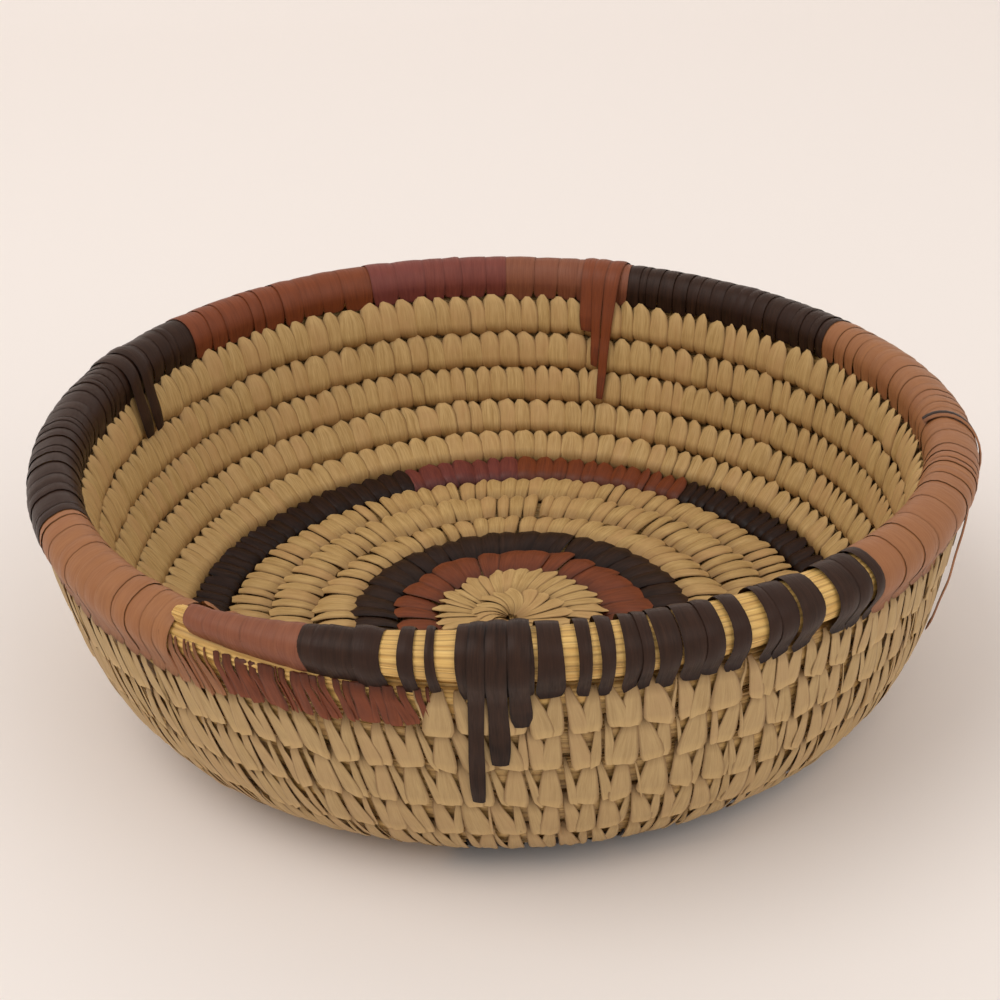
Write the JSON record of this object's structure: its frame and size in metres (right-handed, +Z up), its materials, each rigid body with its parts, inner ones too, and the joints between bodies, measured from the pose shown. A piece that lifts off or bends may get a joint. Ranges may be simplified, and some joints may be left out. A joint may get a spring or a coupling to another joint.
{
  "type": "coiled basket",
  "caption": "Round shallow coiled basket with a flat floor, a flaring stitched wall and a wrapped rim, in straw, rust, maroon and dark leaf.",
  "frame": {"origin": "bottom centre of the basket's box, on the surface that it stands on", "axes": "+Z up, -Y towards the side where the dark front of the rim is, +X to the right seen from there"},
  "size_m": [0.2368, 0.2434, 0.0756],
  "materials": {
    "straw_leaf": "dried palm leaf strip in its natural straw colour, matt with fine lengthwise streaks",
    "rust_leaf": "dried palm leaf strip dyed rust, matt",
    "dark_leaf": "dried palm leaf strip dyed brown-black, matt",
    "maroon_leaf": "dried palm leaf strip dyed purple-maroon, matt",
    "brown_leaf": "dried palm leaf strip dyed brown, matt",
    "tan_leaf": "dried palm leaf strip dyed pale tan, matt",
    "grass_bundle": "bundle of dry golden grass stems, matt with a slight sheen"
  },
  "bodies": {
    "root": {"centre_stitching": "straw_leaf", "floor_stitching_inner": "straw_leaf", "floor_stitching_middle": "straw_leaf", "floor_stitching_outer": "straw_leaf", "wall_stitching_1_front_left": "straw_leaf", "wall_stitching_1_back_left": "straw_leaf", "wall_stitching_1_back_right": "straw_leaf", "wall_stitching_1_front_right": "straw_leaf", "wall_stitching_2_front_left": "straw_leaf", "wall_stitching_2_back_left": "straw_leaf", "wall_stitching_2_back_right": "straw_leaf", "wall_stitching_2_front_right": "straw_leaf", "wall_stitching_3_front_left": "straw_leaf", "wall_stitching_3_back_left": "straw_leaf", "wall_stitching_3_back_right": "straw_leaf", "wall_stitching_3_front_right": "straw_leaf", "wall_stitching_4_front_left": "straw_leaf", "wall_stitching_4_back_left": "straw_leaf", "wall_stitching_4_back_right": "straw_leaf", "wall_stitching_4_front_right": "straw_leaf", "wall_stitching_5_front_left": "straw_leaf", "wall_stitching_5_back_left": "straw_leaf", "wall_stitching_5_back_right": "straw_leaf", "wall_stitching_5_front_right": "straw_leaf", "rust_ring_stitching": "rust_leaf", "band_stitching_rust": "rust_leaf", "rim_stitching_rust_start": "rust_leaf", "rim_stitching_rust": "rust_leaf", "back_long_stitch_1": "rust_leaf", "back_long_stitch_2": "rust_leaf", "back_long_stitch_3": "rust_leaf", "dark_ring_stitching": "dark_leaf", "band_stitching_dark_left": "dark_leaf", "band_stitching_dark_right": "dark_leaf", "rim_stitching_dark_left": "dark_leaf", "rim_stitching_dark_back": "dark_leaf", "rim_stitching_dark_front_1": "dark_leaf", "rim_stitching_dark_front_2": "dark_leaf", "rim_stitching_dark_front_3": "dark_leaf", "rim_stitching_dark_front_4": "dark_leaf", "rim_stitching_dark_front_5": "dark_leaf", "front_long_stitch_1": "dark_leaf", "front_long_stitch_2": "dark_leaf", "front_long_stitch_3": "dark_leaf", "left_long_stitch_1": "dark_leaf", "left_long_stitch_2": "dark_leaf", "right_loose_strand_1": "dark_leaf", "band_stitching_maroon": "maroon_leaf", "rim_stitching_maroon": "maroon_leaf", "rim_stitching_brown": "brown_leaf", "rim_stitching_brown_end": "brown_leaf", "rim_stitching_tan_left": "tan_leaf", "rim_stitching_tan_right": "tan_leaf", "right_loose_strand_2": "tan_leaf", "foundation_coil": "grass_bundle"}
  },
  "joints": []
}
